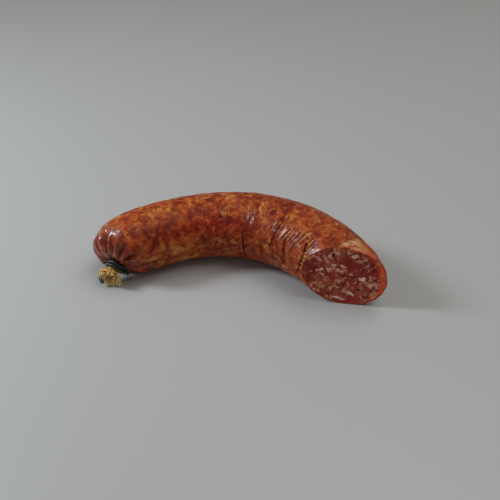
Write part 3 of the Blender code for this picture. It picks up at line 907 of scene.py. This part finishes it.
def mince_grains(solid, moved):
    """How fat each place of the cut is, in grains and small dots, and how much of a small hole."""
    rng = default_rng(5)
    seeds = scattered_points(GRAIN_SPACING, 8)
    cluster = lumpiness(flat_points(seeds), 0.0040, 71, 2)
    value = np.clip(rng.random(len(seeds)) + 0.34 * cluster - 0.02, 0.0, 1.0)
    first, second, gap = nearest(seeds, moved)
    share = 0.5 + 0.5 * smooth(0.0, 0.00075, gap)
    level = value[first] * share + value[second] * (1.0 - share)
    level = level + 0.20 * lumpiness(solid, 0.0012, 80)
    dots = scattered_points(DOT_SPACING, 9)
    dotted = rng.random(len(dots)) > 0.80
    near_dot, _, _ = nearest(dots, moved)
    from_dot = np.linalg.norm(moved - dots[near_dot], axis=1)
    level = level + 0.30 * dotted[near_dot] * smooth(0.00050, 0.00015, from_dot)
    small = (rng.random(len(seeds)) > 0.96) & (value < 0.6)
    from_seed = np.linalg.norm(moved - seeds[first], axis=1)
    return level, 0.8 * small[first] * smooth(0.00050, 0.00015, from_seed)


def mince_colour(places, push, spread, level, fatness):
    """Lean, pink and fat by how fat each place is, with the larger marks that the cut shows."""
    solid = flat_points(places)
    lean_tone = np.clip(0.5 + 0.5 * lumpiness(solid, 0.0030, 95), 0.0, 1.0)[:, None]
    fat_tone = np.clip(0.5 + 0.5 * lumpiness(solid, 0.0011, 90, 2), 0.0, 1.0)[:, None]
    colour = blend(blend(LEAN_DARK, LEAN_LIGHT, lean_tone), PINK, smooth(0.38, 0.78, level)[:, None])
    colour = blend(colour, blend(FAT_DARK, FAT_LIGHT, fat_tone), fatness[:, None])
    for feature in DEEP_REDS:
        deep = patch(places + push * 0.0012, feature) * 0.60 * (1.0 - 0.8 * fatness)
        colour = blend(colour, DEEP_RED, deep[:, None])
    for feature in PALE_PATCHES:
        white = patch(places + push * 0.0004, feature) * feature[5]
        colour = blend(colour, WHITE, white[:, None])
    warmth = np.clip(0.9 * lumpiness(solid, 0.0055, 170, 2) - 0.15, 0.0, 0.6)
    for feature in GLOWS:
        warmth = np.maximum(warmth, 0.7 * patch(spread, feature))
    return blend(colour, WARM_LEAN, (warmth * (1.0 - 0.7 * fatness))[:, None])


def mince_pattern(places):
    """Colour, height and fatness of the mince at places of the cut."""
    solid = flat_points(places)
    push = np.stack((lumpiness(solid, 0.0018, 50), lumpiness(solid, 0.0018, 60)), -1)
    moved = places + push * 0.00060
    spread = moved + push * 0.0003
    level, hole = mince_grains(solid, moved)
    for feature in PALE_PATCHES:
        level = np.maximum(level, patch(places + push * 0.0004, feature) * 0.97)
    fatness = smooth(0.68, 0.97, level)
    for feature in PITS:
        hole = np.maximum(hole, patch(spread, feature))
    # Painted shade: the small holes and pits are darkened nearly to black in the colour, as well as sunk.
    colour = mince_colour(places, push, spread, level, fatness) * (1.0 - 0.88 * hole)[:, None]
    height = 0.00013 * fatness + 0.00016 * lumpiness(solid, 0.0016, 130) - 0.0008 * hole
    return colour, height, fatness


def mince_material():
    made, tree, shader = new_material("coarse_mince")
    place = object_place(tree)
    fine = noise(tree, place, 1500.0, 5.0, 0.65)
    shade = ramp(tree, fine, ((0.30, 0.72), (0.70, 1.22)))
    rough = maths(tree, "MULTIPLY", noise(tree, place, 900.0, 3.0), 0.4)
    finish_shader(tree, shader, {
        "Base Color": mixed(tree, 1.0, number_of(tree, "mince", "Color"), shade, "MULTIPLY"),
        "Roughness": maths(tree, "ADD", rough, 0.25),
        "Normal": bump(tree, fine, 0.5, 0.0003),
    }, {
        "Specular IOR Level": 0.25,
        **subsurface(0.10, (0.0020, 0.0008, 0.0005)),
    })
    return made


def dry_rim(colour, flat, angle, from_rim, fatness):
    """The mince's colour, dried orange next to the rim, most of all on its outer side."""
    outer = facing(angle, -5, 1.15)
    wide = 0.0008 + 0.0022 * outer + 0.0020 * facing(angle, 22, 0.70)
    wide = wide + 0.0006 * lumpiness(flat, 0.0040, 140)
    nearness = from_rim / np.maximum(wide, 0.0003) + 0.25 * lumpiness(flat, 0.0016, 145)
    dried = (1.0 - smooth(0.35, 1.1, nearness)) * (0.25 + 0.75 * outer)
    orange = np.multiply(RIM_ORANGE, (1.0 + 0.60 * lumpiness(flat, 0.0012, 150))[:, None])
    orange = blend(orange, RIM_BROWN, 0.75 * facing(angle, 48, 0.40)[:, None])
    return blend(colour, orange, (dried * (1.0 - 0.5 * fatness))[:, None])


def make_mince():
    """The face of the cut, sunk a little below the rim and shaved off at the top."""
    angles = even_angles(CUT_SIDES)
    rim = skin_point(cut_stations(angles), angles)[0]
    centre, out = CUT_PLANE
    inward, reach = inwards_from(rim)
    edge = rim + inward * 0.00036
    edge = edge - ((edge - centre) @ out)[:, None] * out
    share = np.linspace(1.0, 0.004, CUT_RINGS) ** 0.85
    points = centre + (edge - centre)[None] * share[:, None, None]
    flat = points.reshape(-1, 3)
    places = np.stack(((flat - centre) @ CUT_ACROSS, (flat - centre) @ CUT_UPWARD), -1)
    colour, height, fatness = mince_pattern(places)
    from_rim = (np.broadcast_to(reach, points.shape[:2]) * (1.0 - share[:, None])).ravel()
    angle = np.broadcast_to(angles, points.shape[:2]).ravel()
    colour = dry_rim(colour, flat, angle, from_rim, fatness)
    past_shave = (flat - SHAVE_PLANE[0]) @ SHAVE_PLANE[1]
    shaved = 0.85 * smooth(-0.0004, 0.0003, past_shave) * smooth(radians(58), radians(76), angle)
    tan = np.multiply(SHAVED_TAN, (1.0 + 0.35 * lumpiness(flat * (1, 1, 2), 0.0014, 160))[:, None])
    colour = blend(colour, tan, shaved[:, None])
    sink = np.maximum(past_shave, 0.0) / float(np.dot(out, SHAVE_PLANE[1]))
    settle = 0.00042 * (1.0 - smooth(0.0, 0.0010, from_rim))
    flat = flat + out * (height * smooth(0.0, 0.0006, from_rim) - settle - sink)[:, None]
    flat[:, 2] = np.maximum(flat[:, 2], 0.00005)
    face = grid_mesh("cut_mince", flat.reshape(points.shape), cap=True)
    set_colour(face, "mince", np.clip(colour, 0.0, 1.0))
    finish_piece(face, mince_material())


def dry_casing_material():
    made, tree, shader = new_material("dry_casing")
    place = object_place(tree)
    # The streak number holds the tuft's colour streaks and, on the outer sheet, the painted light and shade
    # of its flutes.
    streak_and_shade = maths(tree, "MULTIPLY", number_of(tree, "streak_and_shade"), 0.6)
    colour = ramp(tree, plus(tree, streak_and_shade, noise(tree, place, 900.0, 4.0, 0.6), 0.5), (
        (0.20, (0.260, 0.085, 0.012)),
        (0.42, (0.600, 0.290, 0.050)),
        (0.62, (0.860, 0.560, 0.140)),
        (0.88, (1.000, 0.830, 0.380)),
    ))
    finish_shader(tree, shader, {
        "Base Color": colour,
        "Normal": bump(tree, noise(tree, place, 1800.0, 4.0), 0.5, 0.0003),
    }, {
        "Roughness": 0.55,
        **subsurface(0.15, (0.0010, 0.0006, 0.0003)),
    })
    return made


def make_tuft_sheet():
    """Bunched casing: a sheet that leaves the neck, opens in flutes and ends in a torn edge."""
    draw = default_rng(SHEET_SEED).uniform
    angles = even_angles(SHEET_SIDES)
    circle = np.stack((np.cos(angles), np.sin(angles), np.zeros(SHEET_SIDES)), -1) * 0.01
    torn = SHEET_LENGTH + SHEET_RAGGED * lumpiness(circle, 0.0028, SHEET_SEED, 4)
    torn = torn - SHEET_RAGGED * 1.2 * np.maximum(0.0, np.cos(angles - draw(0, NEAR_TURN))) ** 6
    share = np.linspace(0.0, 1.0, SHEET_RINGS)[:, None]
    station = TUFT_START + 0.0012 - share * (torn + 0.0012)[None, :]
    open_share = smooth(0.05, 1.0, share)
    phase = draw(0.0, NEAR_TURN)
    drift = 0.35 * np.sin(2.0 * angles + phase) + 0.5 * lumpiness(circle, 0.0060, SHEET_SEED + 9, 2)
    wave = np.sin(SHEET_FLUTES * angles + phase + 3.0 * drift + 1.2 * share)
    fold = np.sign(wave) * np.abs(wave) ** 0.7
    layers = np.broadcast_arrays(circle[None, :, 0] * 0.6, circle[None, :, 1] * 0.6, share * 0.010)
    crumple = lumpiness(np.stack(layers, -1), 0.0022, SHEET_SEED + 3)
    radius = (TUFT_WAIST - 0.0003) + (SHEET_RADIUS - TUFT_WAIST) * open_share
    radius = radius * (1.0 + open_share * (SHEET_FLUTE_DEPTH * fold + 0.16 * crumple))
    groove = 0.20 * bell(angle_between(angles, GROOVE_ANGLE), 0.0, 0.45) * smooth(0.0, 0.3, share)
    radius = radius * (1.0 - groove)
    flatten = 1.0 - (1.0 - TUFT_FLATTEN) * share
    points = point_at(station, np.broadcast_to(angles, station.shape), radius, flatten)
    points[..., 2] = np.maximum(points[..., 2], TUFT_CLEARANCE)
    sheet = grid_mesh("tuft_outer", points)
    # Colour streaks along the sheet, with painted light on the flutes' crests and painted shade in their
    # valleys, and darker towards the neck.
    streak_and_shade = 0.5 + 0.5 * lumpiness(circle, 0.0016, SHEET_SEED + 5, 3)[None, :] + 0.25 * fold
    set_number(sheet, "streak_and_shade", np.clip(streak_and_shade * (0.45 + 0.75 * share), 0.0, 1.0))
    thicken(sheet, 0.00022)
    finish_piece(sheet, dry_casing_material())


def make_strands():
    """Shreds of dry casing that spread from the neck and fill the tuft."""
    draw = default_rng(305).uniform
    share = np.linspace(0.0, 1.0, 12)[:, None]
    aside = np.linspace(-1.0, 1.0, 3)[None, :]
    flatten = 1.0 - (1.0 - TUFT_FLATTEN) * share + 0.0 * aside
    strips, streaks = [], []
    for _ in range(STRAND_COUNT):
        angle, phase = draw(0.0, NEAR_TURN, 2)
        spread = TUFT_RADIUS * sqrt(draw(0.08, 1.0)) * (1.0 + 0.14 * cos(angle - 3.9))
        length = TUFT_LENGTH * draw(0.84, 1.10) * (0.80 + 0.20 * spread / TUFT_RADIUS)
        half_width = draw(0.00020, 0.00056) * (1.0 - 0.7 * share**3)
        twist = phase + draw(-2.0, 2.0) * share
        station = TUFT_START + 0.0006 - share * (length + 0.0006)
        radius = 0.0030 + (spread - 0.0030) * share**1.2 + 0.0005 * np.sin(5.0 * share + phase) * share
        turned = angle + draw(-0.4, 0.4) * share + 0.10 * np.sin(5.0 * share + 2.0 * phase) * share
        turned = turned + aside * half_width * np.cos(twist) / np.maximum(radius, 0.0012)
        radius = radius + aside * half_width * np.sin(twist)
        strip = point_at(station, turned, radius, flatten)
        strip[..., 2] = np.maximum(strip[..., 2], TUFT_CLEARANCE)
        strips.append(strip)
        streaks.append((draw(0.15, 1.15) * (0.75 + 0.35 * share) + 0.0 * aside).ravel())
    shreds = strip_mesh("tuft_strands", strips, 0.00016)
    set_number(shreds, "streak_and_shade", np.clip(np.concatenate(streaks), 0.0, 1.0))
    finish_piece(shreds, dry_casing_material())


def smooth_path(points, steps):
    """A Catmull-Rom line through rows of numbers, with some steps from each row to the next."""
    points = np.asarray(points, float)
    padded = np.concatenate((points[:1], points, points[-1:]))
    powers = (np.arange(steps) / steps)[:, None] ** np.arange(4)
    spans = [powers @ CATMULL_ROM @ padded[index : index + 4] for index in range(len(points) - 1)]
    return np.concatenate(spans + [points[-1:]])


def even_path(points, spacing):
    """The same line with its points a steady distance apart."""
    lengths = np.concatenate(([0.0], np.cumsum(np.linalg.norm(np.diff(points, axis=0), axis=1))))
    steps = np.linspace(0.0, lengths[-1], max(4, int(lengths[-1] / spacing)))
    return follow(steps, lengths, points), steps


def rope(name, path, radius):
    """A twisted cord along a path, its ends rounded off."""
    points, travelled = even_path(path, 0.00012)
    tangents = np.gradient(points, axis=0)
    tangents = tangents / np.linalg.norm(tangents, axis=1)[:, None]
    side = unit(np.cross(tangents[0], (0.3, 0.2, 1.0)))
    sides_along = []
    for tangent in tangents:
        side = unit(side - tangent * np.dot(side, tangent))
        sides_along.append(side)
    first = np.array(sides_along)
    second = np.cross(tangents, first)
    around = even_angles(CORD_SIDES)
    turn = around[None, :] - 2.0 * pi * travelled[:, None] / CORD_LAY
    lobe = np.abs(np.cos(0.5 * CORD_PLIES * turn)) ** 0.8
    end = np.minimum(travelled, travelled[-1] - travelled)
    closing = np.sqrt(np.clip(1.0 - (1.0 - np.clip(end / (0.6 * radius), 0.0, 1.0)) ** 2, 0.02, 1.0))
    size = radius * (0.80 + 0.22 * lobe) * closing[:, None]
    rings = points[:, None] + first[:, None] * (size * np.cos(around))[..., None]
    rings = rings + second[:, None] * (size * np.sin(around))[..., None]
    cord = grid_mesh(name, rings, cap=True)
    # The plies' crests, kept as a number that paints the grooves between the plies darker as painted shade.
    set_number(cord, "ply_shade", lobe)
    return cord


def twine_material():
    made, tree, shader = new_material("green_twine")
    fibre = noise(tree, object_place(tree), 2400.0, 4.0, 0.7)
    # Painted shade: the twine's colour is darker in the grooves between its plies and lighter on their
    # crests.
    ply_shade = maths(tree, "MULTIPLY", number_of(tree, "ply_shade"), 0.55)
    colour = ramp(tree, plus(tree, ply_shade, fibre, 0.5), (
        (0.25, (0.002, 0.004, 0.003)),
        (0.60, (0.006, 0.013, 0.010)),
        (0.90, (0.022, 0.040, 0.032)),
    ))
    linked = {"Base Color": colour, "Normal": bump(tree, fibre, 0.4, 0.0002)}
    finish_shader(tree, shader, linked, {"Roughness": 0.28})
    return made


def cord_along(name, rows, steps, radius):
    """A cord through rows of (station, angle in degrees, distance from the centre line)."""
    path = smooth_path([(station, radians(degrees), out) for station, degrees, out in rows], steps)
    return rope(name, point_at(path[:, 0], path[:, 1], path[:, 2]), radius)


def make_twine():
    """Twine wound twice round the neck, its long end beside the tuft and its short end from the knot."""
    green = twine_material()
    major = NECK_RADIUS + TWINE_CLEARANCE + TWINE_RADIUS
    inner, outer = TWINE_TURNS
    middle = 0.5 * (inner + outer)
    rows = list(TWINE_LONG_END)
    rows += [(outer - 0.0006, -12, major + 0.0002), (outer, 4, major)]
    rows += [(outer, degrees, major) for degrees in range(25, 331, 20)]
    for degrees in range(350, 391, 20):
        rows.append((outer + (inner - outer) * (degrees - 330) / 80.0, degrees, major + 0.00015))
    rows += [(inner, degrees, major) for degrees in range(410, 551, 20)]
    rows += [(inner - 0.0003, 560, major + 0.0004), (middle, 567, major + 0.0013)]
    winding = cord_along("twine_winding", rows, 8, TWINE_RADIUS * 0.98)
    rows = []
    for step in range(25):
        t = 2.0 * pi * step / 24.0
        rows.append((
            middle + 0.0011 * sin(t) * (1.0 + 0.4 * cos(2.0 * t)),
            KNOT_ANGLE + 10.0 * cos(t),
            major + 0.0012 + 0.0007 * sin(2.0 * t + 0.6),
        ))
    rows += [(-0.0026, 213, major + 0.0028), (-0.0032, 217, major + 0.0034)]
    tied = cord_along("twine_knot", rows, 5, TWINE_RADIUS * 0.85)
    for cord in (winding, tied):
        finish_piece(cord, green, "tie_twine")


def torn_material():
    made, tree, shader = new_material("torn_casing")
    shade = noise(tree, object_place(tree), 1200.0, 3.0)
    colour = ramp(tree, shade, ((0.35, (0.42, 0.10, 0.04)), (0.65, (0.80, 0.38, 0.20))))
    finish_shader(tree, shader, {"Base Color": colour}, {"Roughness": 0.60, "Specular IOR Level": 0.25})
    return made


def make_scraps(rim, inward):
    """Scraps of casing that the knife left curling outwards at the inner corner of the cut."""
    draw = default_rng(77).uniform
    share = np.linspace(0.0, 1.0, 9)[:, None]
    aside = np.linspace(-1.0, 1.0, 5)[None, :]
    out = CUT_PLANE[1]
    strips = []
    for number, degrees in enumerate(SCRAP_ANGLES):
        index = int(degrees / 360.0 * SKIN_SIDES)
        along = unit(rim[index + 3] - rim[index - 3])
        length = draw(0.0010, 0.0021)
        half_width = draw(0.0004, 0.0009) * (1.0 - 0.6 * share**2)
        curl = draw(0.5, 1.5)
        away = unit(-inward[index] + out * draw(0.0, 0.7))
        rise = length * np.sin(curl * share) / curl
        curve = length * (1.0 - np.cos(curl * share)) / curl
        place = rim[index] + inward[index] * 0.0003 + away * rise[..., None]
        place = place + out * (curve * draw(-0.2, 1.0))[..., None]
        place = place + along * (half_width * aside + 0.0003 * np.sin(4.0 * share + number))[..., None]
        crumple = 0.00035 * lumpiness(place, 0.0009, 400 + number)
        strips.append(place + crumple[..., None] * (away + out))
    scraps = strip_mesh("torn_scraps", strips, 0.00028)
    finish_piece(scraps, torn_material())


def make_floor():
    bpy.ops.mesh.primitive_plane_add(size=3.0, location=(0.0, 0.0, -0.00002))
    floor = bpy.context.object
    floor.name = "floor"
    made, _, shader = new_material("pale_floor")
    shader.inputs["Base Color"].default_value = (0.468, 0.466, 0.456, 1.0)
    shader.inputs["Roughness"].default_value = 0.42
    floor.data.materials.append(made)


def area_light(name, place, aim, size, watts, colour):
    lamp = bpy.data.lights.new(name, "AREA")
    lamp.shape = "RECTANGLE"
    lamp.size, lamp.size_y = size
    lamp.energy = watts
    lamp.color = colour
    holder = add_object(name, lamp)
    holder.location = place
    holder.rotation_euler = (Vector(aim) - Vector(place)).to_track_quat("-Z", "Y").to_euler()


def make_lights():
    area_light("window", (-0.56, -0.12, 0.44), (-0.02, 0.0, 0.03), (0.14, 0.21), 2.9, (0.84, 0.92, 1.0))
    area_light("ceiling", (0.32, 0.16, 0.95), (0.05, 0.0, 0.0), (0.90, 0.70), 4.0, (1.0, 0.995, 0.98))
    world = bpy.data.worlds.new("room")
    world.use_nodes = True
    background = world.node_tree.nodes["Background"]
    background.inputs["Color"].default_value = (0.93, 0.91, 0.87, 1.0)
    background.inputs["Strength"].default_value = 0.22
    bpy.context.scene.world = world


def make_camera():
    lens = bpy.data.cameras.new("view")
    lens.lens = VIEW_LENS
    lens.sensor_width = VIEW_FRAME
    lens.clip_start = 0.01
    camera = add_object("view", lens)
    back = Vector((
        sin(VIEW_AZIMUTH) * cos(VIEW_ELEVATION),
        -cos(VIEW_AZIMUTH) * cos(VIEW_ELEVATION),
        sin(VIEW_ELEVATION),
    ))
    camera.location = Vector(VIEW_TARGET) + back * VIEW_DISTANCE
    camera.rotation_euler = back.to_track_quat("Z", "Y").to_euler()
    bpy.context.scene.camera = camera


bpy.context.scene.view_settings.view_transform = "Standard"
RIM, INWARD = make_skin()
make_mince()
make_tuft_sheet()
make_strands()
make_twine()
make_scraps(RIM, INWARD)
make_floor()
make_lights()
make_camera()
